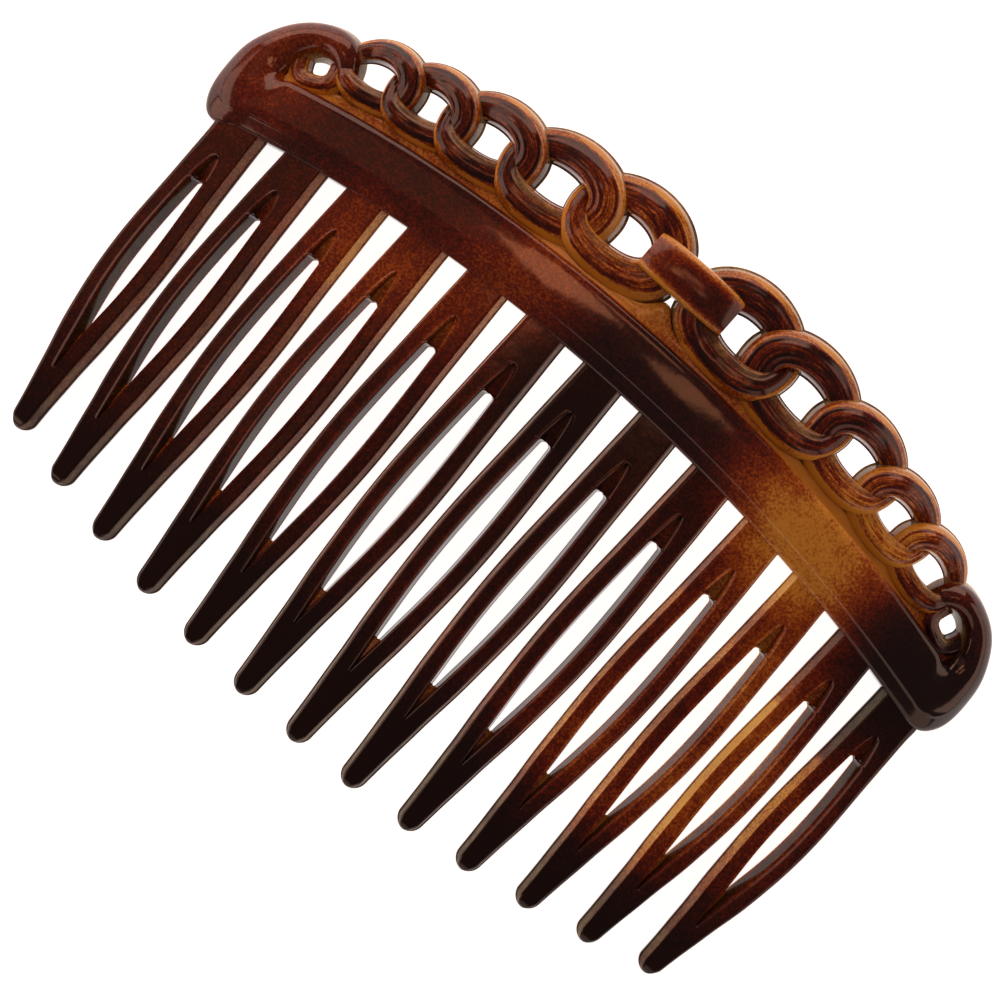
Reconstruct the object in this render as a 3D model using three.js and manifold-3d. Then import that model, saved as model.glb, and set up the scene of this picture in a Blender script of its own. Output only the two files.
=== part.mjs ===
// Decorative side comb: an arched spine bar with scrolled ends, thirteen needle-eye teeth below it and an
// openwork crest of graded curb-chain links above it. Millimetres, +Z up.
//
// The comb lies on its back. +X runs along the spine bar, +Y from the tooth tips to the crest, and the
// decorative face looks up. The origin is under the middle of the comb, on the surface that it lies on.
//
// Every piece is drawn flat first, in sheet coordinates: s along the spine, y across it and h out of the
// back of the comb. onHead() then bends the sheet to the curve of the head.

import * as THREE from 'three';
import { mergeVertices } from 'three/addons/utils/BufferGeometryUtils.js';
import Module from 'manifold-3d';

const wasm = await Module();
wasm.setup();

// ---- driving dimensions ----

const headRadius = 126;        // curve of the comb's back along the spine
const profileRadius = 400;     // curve of the comb's back along the teeth
const profileMiddle = 3;       // y where that second curve is level
const pieceGap = 0.3;          // clearance between neighbouring pieces

const barHalfLength = 47;      // from the middle of the spine bar to where its end starts to curl
const barHeight = 7.4;
const barThickness = 3.7;      // at the crown of the bar's domed face
const barEdgeThickness = 2.5;  // at its lower and upper edges
const barBevel = 1.7;          // width of the bevel along the lower edge
const barBevelDrop = 0.2;      // fall of the domed face from its crown to the bevel
const barCrownShare = 0.55;    // where the crown lies between the lower and the upper edge
const barShoulderShare = 0.85; // and where the face turns down to the upper edge
const barShoulderDrop = 0.25;
const archRadius = 226;        // arch of the bar's lower edge, seen from the front
const barSteps = 19;

const scrollReach = 7.6;       // how far the scrolled end stands out past the bar
const scrollThickness = 3.3;
const scrollBevel = 0.5;
const scrollOverlap = 2;       // how far the scroll reaches back into the bar
const scrollOverlapRise = 0.2; // how far it keeps inside the bar's lower edge there
const scrollOverlapDrop = 0.4; // and inside its upper edge
const scrollHeel = { reach: 3, drop: 0.4 };         // past the bar's lower corner
const scrollToe = { setback: 2.4, drop: 0.3 };      // back from the scroll's far end, under the same corner
const scrollToeRound = { setback: 0.4, rise: 2.2 };
const scrollFlankRise = 5;                          // of the far end itself
const scrollShoulder = { setback: 1.5, rise: 3.7 }; // back from the far end, above the bar's upper corner
const scrollCrown = { setback: 4.2, rise: 6.6 };
const scrollArmReach = 0.5;    // how far the arm stops short of the middle of its own link
const scrollArmDrop = 0.1;     // of the arm's top below the link's
const scrollEye = { reach: 2.3, rise: 0.6 };        // inner corners, past the link's middle
const scrollThroat = { reach: 3.2, rise: 0.6 };

const toothCount = 13;
const outerToothReach = 2.1;   // how far the middle of the outermost root stands past the bar
const toothFan = 0.96;         // pitch of the tips as a share of the pitch of the roots
const toothReach = 52.4;       // from the arch's crown to the tip of the middle tooth
const tipArcRadius = 172;      // arc through the tooth tips
const toothThickness = 2.3;
const toothBack = 0.1;         // how far the back of a tooth stands off the back of the bar
const toothBevel = 0.3;
const rootSpace = 2.7;         // space between two teeth at their roots
const bellySpace = 1.15;       // and where they are widest
const legWidth = 2.5;          // width of a tooth's leg beside the eye
const tipHalfWidth = 1.55;
const shoulderShare = 0.2;     // where a tooth is midway in width between root and belly
const bellyShare = 0.42;       // where it is widest
const taperShare = 0.7;        // and where it is nearly midway between belly and tip
const taperFullness = 0.25;    // half width that it has to spare there
const eyeTopHalfWidth = 0.55;
const eyeFootHalfWidth = 0.2;
const eyeDrop = 0.185;         // top of the eye below the root, as a share of the tooth's length
const eyeFootRise = 14.2;      // foot of the eye above the tip of the middle tooth
const eyeFootFollow = 0.15;    // share of another tooth's difference in length by which its foot moves
const eyeBellyLift = 1;        // widest place of the eye above its middle

const linkPairs = 5;           // links on each side of the middle one, without the scroll's own
const scrollLinkSetback = 0.2; // from the bar's end back to the middle of the scroll's link
const linkHalfLengthStep = 0.7;
const linkHalfHeight = 6.15;   // of the largest link
const linkHalfHeightStep = 0.45;
const linkSpacing = 0.6;       // centre distance of two links as a share of their half lengths together
const linkArmShare = 0.31;     // half width of a link's upper and lower arm, as a share of its half height
const linkHalfThickness = 0.75;
const linkPassing = 0.45;      // spare room where one link passes over the next
const linkMiddleHeight = 2.1;  // height of the chain's middle plane above the comb's back
const linkRoundSteps = 30;
const linkSectionSteps = 8;

const bridgeLengthShare = 0.7; // middle link, seen edge-on, against the largest link
const bridgeHeightShare = 0.34;
const bridgeThickness = 2.3;
const bridgeOffset = 0.5;
const bridgeBevel = 0.6;

const mergeDistance = 1e-4;    // corners nearer than this are one corner
const ringTube = 0.25;         // of the plain ring that every link is drawn from

// ---- sizes that follow from them ----

const rootPitch = 2 * (barHalfLength + outerToothReach) / (toothCount - 1);
const tipPitch = rootPitch * toothFan;
const rootHalfWidth = (rootPitch - rootSpace) / 2;
const bellyHalfWidth = ((rootPitch + tipPitch) / 2 - bellySpace) / 2;
const eyeBellyHalfWidth = bellyHalfWidth - legWidth;
const linkTwist = linkHalfThickness + linkPassing;
const linkRow = barHalfLength - scrollLinkSetback - pieceGap / 2;
const linkHalfLength = (linkRow + linkSpacing * linkHalfLengthStep * linkPairs ** 2)
  / (1 + 2 * linkPairs * linkSpacing);

// ---- materials ----

function plastic(color) {
  return new THREE.MeshStandardMaterial({ color, roughness: 0.2, metalness: 0 });
}

const barPlastic = plastic(0x5a2410);
const toothPlastic = plastic(0x38180f);
const linkPlastic = plastic(0x6b3a1c);

// ---- the sheet and its bend ----

function onHead(s, y, h) {
  const turn = s / headRadius;
  const lean = (y - profileMiddle) / profileRadius;
  const radius = headRadius + h;
  const fall = (y - profileMiddle) * lean / 2;
  const z = radius * Math.cos(turn) - headRadius - fall;
  return new THREE.Vector3(radius * Math.sin(turn), y + h * lean, z);
}

function archY(s) {
  return -s * s / (2 * archRadius);
}

function tipY(s) {
  return s * s / (2 * tipArcRadius) - toothReach;
}

// Moves each corner of a shape to the sheet point that place(x, y, z) gives, and bends it to the head.
function bent(geometry, place) {
  const corners = geometry.getAttribute('position');
  for (let i = 0; i < corners.count; i += 1) {
    const flat = place(corners.getX(i), corners.getY(i), corners.getZ(i));
    const point = onHead(flat.s, flat.y, flat.h);
    corners.setXYZ(i, point.x, point.y, point.z);
  }
  return bare(geometry);
}

// The same surface with only its positions, and with shared corners merged.
function bare(geometry) {
  const plain = geometry.clone();
  plain.deleteAttribute('normal');
  plain.deleteAttribute('uv');
  return mergeVertices(plain, mergeDistance);
}

// The mirror image across the middle of the comb.
function mirrored(geometry) {
  const twin = geometry.clone();
  twin.scale(-1, 1, 1);
  const order = twin.getIndex();
  for (let i = 0; i < order.count; i += 3) {
    const first = order.getX(i);
    order.setX(i, order.getX(i + 1));
    order.setX(i + 1, first);
  }
  return twin;
}

// ---- solids ----

function solidOf(geometry) {
  const vertProperties = new Float32Array(geometry.getAttribute('position').array);
  const triVerts = new Uint32Array(geometry.getIndex().array);
  return new wasm.Manifold(new wasm.Mesh({ numProp: 3, vertProperties, triVerts }));
}

function geometryOf(solid) {
  const result = solid.getMesh();
  const geometry = new THREE.BufferGeometry();
  geometry.setAttribute('position', new THREE.BufferAttribute(new Float32Array(result.vertProperties), 3));
  geometry.setIndex(new THREE.BufferAttribute(new Uint32Array(result.triVerts), 1));
  return geometry;
}

function meshOf(name, geometry, material) {
  const finished = geometry.clone();
  finished.computeVertexNormals();
  const mesh = new THREE.Mesh(finished, material);
  mesh.name = name;
  return mesh;
}

// ---- spine bar ----

// Cross-section of the bar: x is the height above the comb's back, y runs from the lower edge to the upper.
function barSection() {
  const section = new THREE.Shape();
  section.moveTo(0, 0);
  section.lineTo(barEdgeThickness, 0);
  section.lineTo(barThickness - barBevelDrop, barBevel);
  section.lineTo(barThickness, barHeight * barCrownShare);
  section.lineTo(barThickness - barShoulderDrop, barHeight * barShoulderShare);
  section.lineTo(barEdgeThickness, barHeight);
  section.lineTo(0, barHeight);
  section.closePath();
  return section;
}

function barGeometry() {
  const straight = new THREE.ExtrudeGeometry(barSection(), {
    depth: 2 * barHalfLength,
    steps: barSteps,
    bevelEnabled: false,
  });
  return bent(straight, (h, across, along) => {
    const s = barHalfLength - along;
    return { s, y: archY(s) + across, h };
  });
}

// Plan of a scrolled end: out from the bar, up round the shoulder and over to the end's own link, then back
// down the inside of the scroll to the bar.
function scrollOutline() {
  const end = barHalfLength;
  const tip = end + scrollReach;
  const foot = archY(end);
  const top = foot + barHeight;
  const link = linkAt(linkPairs);
  const crest = link.y + link.halfHeight;
  const arm = 2 * linkArmShare * link.halfHeight;
  const outline = new THREE.Shape();
  outline.moveTo(end - scrollOverlap, foot + scrollOverlapRise);
  outline.splineThru([
    new THREE.Vector2(end + scrollHeel.reach, foot - scrollHeel.drop),
    new THREE.Vector2(tip - scrollToe.setback, foot - scrollToe.drop),
    new THREE.Vector2(tip - scrollToeRound.setback, foot + scrollToeRound.rise),
    new THREE.Vector2(tip, foot + scrollFlankRise),
    new THREE.Vector2(tip - scrollShoulder.setback, top + scrollShoulder.rise),
    new THREE.Vector2(tip - scrollCrown.setback, top + scrollCrown.rise),
    new THREE.Vector2(link.s + scrollArmReach, crest - scrollArmDrop),
  ]);
  outline.lineTo(link.s + scrollArmReach, crest - arm);
  outline.lineTo(link.s + scrollEye.reach, link.y + scrollEye.rise);
  outline.lineTo(link.s + scrollThroat.reach, top + scrollThroat.rise);
  outline.lineTo(end - scrollOverlap, top - scrollOverlapDrop);
  outline.closePath();
  return outline;
}

function scrollGeometry() {
  const flat = new THREE.ExtrudeGeometry(scrollOutline(), {
    depth: scrollThickness - 2 * scrollBevel,
    bevelThickness: scrollBevel,
    bevelSize: scrollBevel,
    bevelOffset: -scrollBevel,
    bevelSegments: 2,
    curveSegments: 2,
  });
  return bent(flat, (s, y, out) => ({ s, y, h: scrollBevel + out }));
}

// ---- teeth ----

// Half outline of a tooth as points (half width, distance from the root), root first.
function toothFlank(length) {
  return [
    new THREE.Vector2(rootHalfWidth, 0),
    new THREE.Vector2((rootHalfWidth + bellyHalfWidth) / 2, length * shoulderShare),
    new THREE.Vector2(bellyHalfWidth, length * bellyShare),
    new THREE.Vector2((bellyHalfWidth + tipHalfWidth) / 2 + taperFullness, length * taperShare),
    new THREE.Vector2(tipHalfWidth, length - tipHalfWidth),
  ];
}

function toothOutline(length) {
  const flank = toothFlank(length);
  const outline = new THREE.Shape();
  outline.moveTo(-rootHalfWidth, 0);
  outline.splineThru(flank.slice(1).map((point) => new THREE.Vector2(-point.x, -point.y)));
  outline.absarc(0, tipHalfWidth - length, tipHalfWidth, Math.PI, Math.PI * 2, false);
  outline.splineThru(flank.slice(0, -1).reverse().map((point) => new THREE.Vector2(point.x, -point.y)));
  outline.closePath();
  return outline;
}

function toothEye(length) {
  const top = length * eyeDrop;
  const foot = length - eyeFootRise - (length - toothReach) * eyeFootFollow;
  const belly = (top + foot) / 2 - eyeBellyLift;
  const eye = new THREE.Path();
  eye.moveTo(-eyeTopHalfWidth, -top);
  eye.lineTo(eyeTopHalfWidth, -top);
  eye.splineThru([new THREE.Vector2(eyeBellyHalfWidth, -belly), new THREE.Vector2(eyeFootHalfWidth, -foot)]);
  eye.lineTo(-eyeFootHalfWidth, -foot);
  eye.splineThru([new THREE.Vector2(-eyeBellyHalfWidth, -belly), new THREE.Vector2(-eyeTopHalfWidth, -top)]);
  return eye;
}

// Tooth number place counts from the middle one, negative to the left.
function toothGeometry(place) {
  const rootS = place * rootPitch;
  const tipS = place * tipPitch;
  const endY = tipY(tipS);
  const length = archY(rootS) - pieceGap - endY;
  const outline = toothOutline(length);
  outline.holes.push(toothEye(length));
  const flat = new THREE.ExtrudeGeometry(outline, {
    depth: toothThickness - 2 * toothBevel,
    bevelThickness: toothBevel,
    bevelSize: toothBevel,
    bevelOffset: -toothBevel,
    bevelSegments: 1,
    curveSegments: 3,
  });
  return bent(flat, (across, down, out) => {
    const share = -down / length;
    const rootY = archY(rootS + across) - pieceGap;
    return {
      s: THREE.MathUtils.lerp(rootS, tipS, share) + across,
      y: THREE.MathUtils.lerp(rootY, endY, share),
      h: toothBack + toothBevel + out,
    };
  });
}

// ---- chain ----

// Place and size of link number index on the right: 0 is the largest, linkPairs is the scroll's own link. The
// round end of each link fits in the eye of the next.
function linkAt(index) {
  let s = pieceGap / 2 + linkHalfLength;
  for (let i = 1; i <= index; i += 1) {
    s += linkSpacing * (2 * linkHalfLength - (2 * i - 1) * linkHalfLengthStep);
  }
  const halfLength = linkHalfLength - index * linkHalfLengthStep;
  const halfHeight = linkHalfHeight - index * linkHalfHeightStep;
  const slope = -s / archRadius - linkHalfHeightStep / (2 * linkSpacing * linkHalfLength);
  return {
    s,
    y: archY(s) + barHeight + pieceGap + halfHeight,
    halfLength,
    halfHeight,
    tilt: Math.atan(slope),
    armHalfWidth: linkArmShare * halfHeight,
    endHalfWidth: ((1 - linkSpacing) * halfLength - pieceGap / 2) / 2,
  };
}

// Rise of a right-hand link's middle line above the chain's middle plane at angle turn: its outer end passes
// behind the next link above and in front of it below. The largest link's inner end lies low all the way,
// under the middle link.
function linkRise(index, turn) {
  const twist = -linkTwist * Math.sin(2 * turn);
  if (index > 0 || Math.cos(turn) > 0) {
    return twist;
  }
  return -linkTwist * Math.abs(Math.cos(turn));
}

function linkGeometry(index) {
  const link = linkAt(index);
  const ring = new THREE.TorusGeometry(1, ringTube, linkSectionSteps, linkRoundSteps);
  return bent(ring, (x, y, z) => {
    const turn = Math.atan2(y, x);
    const across = (Math.hypot(x, y) - 1) / ringTube;
    const halfWidth = THREE.MathUtils.lerp(link.armHalfWidth, link.endHalfWidth, Math.cos(turn) ** 2);
    const along = (link.halfLength - link.endHalfWidth + across * halfWidth) * Math.cos(turn);
    const up = (link.halfHeight - link.armHalfWidth + across * halfWidth) * Math.sin(turn);
    return {
      s: link.s + along * Math.cos(link.tilt) - up * Math.sin(link.tilt),
      y: link.y + along * Math.sin(link.tilt) + up * Math.cos(link.tilt),
      h: linkMiddleHeight + linkRise(index, turn) + z / ringTube * linkHalfThickness,
    };
  });
}

function bridgeGeometry() {
  const outline = new THREE.Shape();
  const length = bridgeLengthShare * linkHalfLength;
  const height = bridgeHeightShare * linkHalfHeight;
  outline.moveTo(-length, -height);
  outline.lineTo(length, -height);
  outline.lineTo(length, height);
  outline.lineTo(-length, height);
  outline.closePath();
  const flat = new THREE.ExtrudeGeometry(outline, {
    depth: bridgeThickness - 2 * bridgeBevel,
    bevelThickness: bridgeBevel,
    bevelSize: bridgeBevel,
    bevelOffset: -bridgeBevel,
    bevelSegments: 2,
  });
  const level = linkAt(0).y;
  const bottom = linkMiddleHeight - linkTwist + linkHalfThickness + pieceGap;
  return bent(flat, (across, up, out) => ({
    s: bridgeOffset + across,
    y: level + up,
    h: bottom + bridgeBevel + out,
  }));
}

// ---- assembly ----

const comb = new THREE.Group();

const endScroll = solidOf(scrollGeometry()).add(solidOf(linkGeometry(linkPairs)));
const otherScroll = solidOf(mirrored(geometryOf(endScroll)));
const spine = solidOf(barGeometry()).add(endScroll).add(otherScroll);
comb.add(meshOf('spine_bar', geometryOf(spine), barPlastic));

for (let number = 1; number <= toothCount; number += 1) {
  const name = `tooth_${String(number).padStart(2, '0')}`;
  comb.add(meshOf(name, toothGeometry(number - (toothCount + 1) / 2), toothPlastic));
}

for (let index = 0; index < linkPairs; index += 1) {
  const right = linkGeometry(index);
  comb.add(meshOf(`link_right_${index + 1}`, right, linkPlastic));
  comb.add(meshOf(`link_left_${index + 1}`, mirrored(right), linkPlastic));
}

comb.add(meshOf('link_middle', bridgeGeometry(), linkPlastic));

// The comb is lifted until it rests on the origin's plane.
const bounds = new THREE.Box3().setFromObject(comb);
comb.position.set(0, -(bounds.min.y + bounds.max.y) / 2, -bounds.min.z);

export default comb;
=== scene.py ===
"""A tortoiseshell side comb with needle-eye teeth, a domed spine bar and a curb-chain crest.

Every piece is worked out flat, in sheet coordinates: s along the spine, y across it and h out of the comb's
back. on_head() then bends the sheet to the curve of the head, as the CAD frame does.
"""

import math

import bpy
import numpy as np
from bpy.props import FloatProperty, FloatVectorProperty, PointerProperty
from mathutils import Matrix, Vector


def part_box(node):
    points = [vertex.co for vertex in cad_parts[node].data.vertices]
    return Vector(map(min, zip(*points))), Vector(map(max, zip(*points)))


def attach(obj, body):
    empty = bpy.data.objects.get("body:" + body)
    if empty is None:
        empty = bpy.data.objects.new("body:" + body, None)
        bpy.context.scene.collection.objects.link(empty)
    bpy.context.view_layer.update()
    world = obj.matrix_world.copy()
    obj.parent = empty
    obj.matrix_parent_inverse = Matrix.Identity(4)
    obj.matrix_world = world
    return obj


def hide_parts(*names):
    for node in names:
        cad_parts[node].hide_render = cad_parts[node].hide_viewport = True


bl_info = {
    "name": "Tortoiseshell side comb",
    "version": (1, 0, 0),
    "blender": (4, 5, 0),
    "location": "View3D > Sidebar > Side comb",
    "description": "Builds the fine surface of a side comb around its CAD frame",
    "category": "Object",
}

MM = 0.001

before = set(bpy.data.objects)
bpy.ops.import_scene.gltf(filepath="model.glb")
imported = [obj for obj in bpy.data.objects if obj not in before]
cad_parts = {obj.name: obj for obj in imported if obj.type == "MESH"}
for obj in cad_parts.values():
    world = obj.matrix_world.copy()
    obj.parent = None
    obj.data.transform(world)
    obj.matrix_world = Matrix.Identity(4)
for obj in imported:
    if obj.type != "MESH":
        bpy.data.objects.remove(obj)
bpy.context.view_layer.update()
BODY = "root"


# ---- settings ----


def length(name, description, millimetres):
    """A size that a user may change, given in millimetres and held in metres."""
    return FloatProperty(
        name=name, description=description, default=millimetres * MM, unit="LENGTH", precision=5
    )


def colour(name, description, value):
    """A colour that a user may change, in linear light."""
    return FloatVectorProperty(
        name=name, description=description, default=value, subtype="COLOR", size=3, min=0, max=1
    )


class COMB_PG_sizes(bpy.types.PropertyGroup):
    """Sizes of the comb's pieces."""

    head_radius: length("Head radius", "Curve of the comb's back along the spine", 126)
    profile_radius: length("Profile radius", "Curve of the comb's back along the teeth", 400)
    profile_middle: length("Profile middle", "Place across the comb where that second curve is level", 3)
    arch_radius: length("Arch radius", "Arch of the bar's lower edge, seen from the front", 226)
    bar_height: length("Bar height", "Height of the spine bar across the comb", 7.5)
    bar_thickness: length("Bar thickness", "Thickness at the crown of the bar's domed face", 3.7)
    ledge_height: length("Ledge height", "Height of the thin ledge between the bar and the chain", 1.3)
    ledge_thickness: length("Ledge thickness", "Thickness of that ledge", 1.7)
    root_reach: length("Root reach", "Middle of the outermost root from the middle of the comb", 48.9)
    tooth_fan: FloatProperty(
        name="Tooth fan",
        description="Pitch of the tips against the pitch of the roots",
        default=0.95,
        min=0.8,
        max=1.1,
    )
    tooth_reach: length("Tooth reach", "From the arch's crown to the tip of the middle tooth", 52.1)
    tip_arc_radius: length("Tip arc radius", "Arc through the tooth tips", 172)
    tooth_thickness: length("Tooth thickness", "Thickness of a tooth", 2.3)
    link_middle_height: length("Chain height", "Height of the chain's middle plane above the back", 2.9)
    link_twist: length("Link twist", "How far a link's corners stand before and behind its middle", 0.75)


class COMB_PG_finish(bpy.types.PropertyGroup):
    """Colours of the tortoiseshell plastic, and of the painted light on its pale drafted walls."""

    dark: colour("Dark shell", "The densest shell, nearly black", (0.010, 0.0035, 0.0025))
    chestnut: colour("Chestnut shell", "Dense red-black shell", (0.030, 0.0055, 0.003))
    red_brown: colour("Red-brown shell", "Half clear shell", (0.10, 0.012, 0.003))
    amber: colour("Amber shell", "Clear shell in the clouds", (0.26, 0.062, 0.006))
    # Golden shell: the clearest clouds, and also the painted light through the thin plastic of grooves,
    # floors, slopes and the ledge.
    thin_light: colour("Golden shell", "Thin clear shell with light through it", (0.5, 0.25, 0.032))
    # Pale rim: painted light on the drafted walls, as if light came through their thin plastic and the white
    # floor showed in them.
    rim_light: colour("Pale rim", "The drafted edge of the moulding", (0.5, 0.4, 0.17))


# ---- the sheet and its bend ----


def sizes():
    """The comb's sizes, as they are set in its panel."""
    return bpy.context.scene.comb_sizes


def finish():
    """The shell's colours, as they are set in the comb's panel."""
    return bpy.context.scene.comb_finish


def bar_origin():
    """Where the crown of the arch meets the comb's back, in the row frame."""
    middle_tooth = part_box("tooth_07")[1]
    bar_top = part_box("spine_bar")[1]
    root_gap = 0.3 * MM
    return Vector((0, middle_tooth.y + root_gap, bar_top.z - sizes().bar_thickness))


def on_head(s, y, h):
    """Bends the sheet: s wraps round a cylinder of the head's radius, and y falls off along a parabola with
    the profile's radius, with h measured square to both."""
    size = sizes()
    origin = bar_origin()
    turn = s / size.head_radius
    lean = (y - size.profile_middle) / size.profile_radius
    reach = size.head_radius + h
    x = reach * np.sin(turn)
    z = reach * np.cos(turn) - size.head_radius - (y - size.profile_middle) * lean / 2
    return np.stack([x, y + h * lean + origin.y, z + origin.z], axis=-1)


def arch_y(s):
    """Height of the bar's lower edge: a parabola with the arch's radius at its crown."""
    return -s * s / (2 * sizes().arch_radius)


def ease(low, high, value):
    """Smooth step: 0 at low, 1 at high and 3t2 - 2t3 between, so it falls where low is above high."""
    t = np.clip((value - low) / (high - low), 0, 1)
    return t * t * (3 - 2 * t)


def spline(keys, where):
    """Natural cubic spline through (place, value) keys, worked out at every place in where."""
    at = np.array([key[0] for key in keys], float)
    value = np.array([key[1] for key in keys], float)
    gap = np.diff(at)
    count = len(at)
    system = np.zeros((count, count))
    right = np.zeros(count)
    system[0, 0] = system[-1, -1] = 1
    inner = np.arange(1, count - 1)
    system[inner, inner - 1] = gap[:-1]
    system[inner, inner] = 2 * (gap[:-1] + gap[1:])
    system[inner, inner + 1] = gap[1:]
    right[1:-1] = 6 * (np.diff(value)[1:] / gap[1:] - np.diff(value)[:-1] / gap[:-1])
    bend = np.linalg.solve(system, right)
    i = np.clip(np.searchsorted(at, where) - 1, 0, count - 2)
    step = gap[i]
    a = (at[i + 1] - where) / step
    b = 1 - a
    cubic = ((a**3 - a) * bend[i] + (b**3 - b) * bend[i + 1]) * step**2 / 6
    return a * value[i] + b * value[i + 1] + cubic


# ---- meshes ----

WELD_GRAIN = 1e-7              # points nearer to each other than this are one
SHARP_ANGLE = math.radians(42)


def grid_faces(rows, columns, wrap_rows=False, wrap_columns=False):
    """Quads of a grid of points numbered row by row. Each goes along its row first, then on to the next."""
    i = np.arange(rows if wrap_rows else rows - 1)
    j = np.arange(columns if wrap_columns else columns - 1)
    i, j = np.meshgrid(i, j, indexing="ij")
    below, beside = (i + 1) % rows, (j + 1) % columns
    corners = [i * columns + j, i * columns + beside, below * columns + beside, below * columns + j]
    return np.stack(corners, axis=-1).reshape(-1, 4)


def weld(points, faces):
    """Merges points that coincide. A quad with two corners in one place becomes a triangle, and less than
    that is dropped."""
    on_grid = np.round(points / WELD_GRAIN).astype(np.int64)
    _, first, merged = np.unique(on_grid, axis=0, return_index=True, return_inverse=True)
    faces = merged.reshape(-1)[faces]
    same = faces == np.roll(faces, -1, axis=1)
    crossed = (faces[:, 0] == faces[:, 2]) | (faces[:, 1] == faces[:, 3])
    quads = faces[(same.sum(axis=1) == 0) & ~crossed]
    flat = faces[(same.sum(axis=1) == 1) & ~crossed]
    keep = ~(flat == np.roll(flat, -1, axis=1))
    triangles = flat[keep].reshape(-1, 3)
    return first, quads, triangles


def add_object(name, data):
    """A new object in the scene."""
    thing = bpy.data.objects.new(name, data)
    bpy.context.scene.collection.objects.link(thing)
    return thing


def make_piece(name, points, faces, fields, material, replaced=()):
    """Builds one piece from its points and quads, with its fields as attributes, and puts it on the frame."""
    first, quads, triangles = weld(points, faces)
    mesh = bpy.data.meshes.new(name)
    mesh.from_pydata(points[first].tolist(), [], quads.tolist() + triangles.tolist())
    mesh.update()
    for field, values in fields.items():
        layer = mesh.attributes.new(field, "FLOAT", "POINT")
        layer.data.foreach_set("value", np.ascontiguousarray(values[first], np.float32))
    mesh.shade_smooth()
    mesh.set_sharp_from_angle(angle=SHARP_ANGLE)
    mesh.materials.append(material)
    piece = add_object(name, mesh)
    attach(piece, BODY)
    if replaced:
        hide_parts(*replaced)


def mirror(points, faces):
    """The other side of the comb: x changes sign, and the faces turn round to go on facing out."""
    return points * np.array([-1, 1, 1]), faces[:, ::-1]


def joined(shapes):
    """Several shapes as one: their points, faces and fields, one after the other."""
    starts = np.cumsum([0] + [len(points) for points, _, _ in shapes])
    points = np.concatenate([points for points, _, _ in shapes])
    faces = np.concatenate([faces + start for (_, faces, _), start in zip(shapes, starts)])
    fields = {name: np.concatenate([fields[name] for _, _, fields in shapes]) for name in shapes[0][2]}
    return points, faces, fields


def spread_out(fields, h):
    """Each field as one value for every point of the grid h."""
    return {name: (field * np.ones_like(h)).reshape(-1) for name, field in fields.items()}


def smooth_loop(keys, columns):
    """Closed outline through keys, as points in even steps along Catmull-Rom arcs."""
    key = np.array(keys)
    t = np.arange(columns) * len(key) / columns
    i = np.floor(t).astype(int)
    f = (t - i)[:, None]
    a, b, c, d = (key[(i + k) % len(key)] for k in (-1, 0, 1, 2))
    return 0.5 * (2 * b + (c - a) * f + (2 * a - 5 * b + 4 * c - d) * f**2 + (3 * b - a - 3 * c + d) * f**3)


# ---- spine bar with its scrolls ----

# Right end of the bar, as (t, s, y) with s and y in millimetres. The inner edge runs along the bar's upper
# edge, turns up inside the scroll and over its eye. The outer edge runs round the end, over the top and down
# into the last link.
SCROLL_INNER = [
    (0.0, 47.5, 2.45), (1.0, 48.6, 2.2), (1.5, 49.2, 2.6), (2.0, 49.2, 3.5), (3.0, 48.6, 4.9),
    (4.0, 47.6, 5.95), (5.0, 46.4, 6.35), (6.0, 45.3, 6.1), (7.0, 44.6, 5.4), (8.0, 44.3, 4.5),
]
SCROLL_OUTER = [
    (0.0, 49.2, -5.4), (1.0, 52.7, -5.1), (1.5, 54.2, -3.1), (2.0, 54.6, -0.2), (3.0, 54.0, 3.7),
    (4.0, 51.8, 7.35), (5.0, 48.6, 9.45), (6.0, 45.6, 10.05), (7.0, 43.2, 8.9), (8.0, 42.3, 6.8),
]
LEAD_IN = 0.25                 # how much of the bar bends to meet its scroll
RIGHT_FULLER = 0.2 * MM        # how far each scroll's back stands outside SCROLL_OUTER
LEFT_FULLER = 1.6 * MM

# Height of the bar and its scroll at t, as a share of the bar's thickness.
SPINE_RISE = [(-1, 1), (0, 1), (1.5, 0.97), (3, 1.0), (5, 1.06), (6, 1.05), (7, 0.85), (8, 0.5)]

# Sections, as (share from the outer to the inner edge, share of the height), starting under the outer edge.
# The bar has a wall, a bevel, a domed face, a step down to the ledge, and its back.
BAR_SECTION = [
    (0.03, 0.04), (0.0, 0.14), (0.0, 0.4), (0.0, 0.6), (0.02, 0.665), (0.05, 0.71), (0.14, 0.8),
    (0.22, 0.88), (0.25, 0.925), (0.32, 0.965), (0.42, 0.99), (0.55, 1.0), (0.7, 0.995), (0.84, 0.975),
    (0.9, 0.95), (0.94, 0.91), (0.97, 0.83), (0.99, 0.7), (1.0, 0.55), (1.0, 0.3), (1.0, 0.12),
    (0.97, 0.04), (0.9, 0.03), (0.5, 0.03), (0.1, 0.03),
]
# The scroll's arm has drafted walls and a round top.
ARM_SECTION = [
    (0.06, 0.06), (0.0, 0.14), (0.015, 0.3), (0.05, 0.45), (0.085, 0.58), (0.12, 0.68), (0.17, 0.77),
    (0.23, 0.84), (0.3, 0.9), (0.36, 0.94), (0.43, 0.97), (0.5, 0.985), (0.58, 0.97), (0.66, 0.93),
    (0.74, 0.86), (0.81, 0.76), (0.87, 0.64), (0.92, 0.5), (0.96, 0.34), (0.99, 0.16), (0.95, 0.06),
    (0.8, 0.03), (0.5, 0.02), (0.2, 0.03),
]


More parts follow.
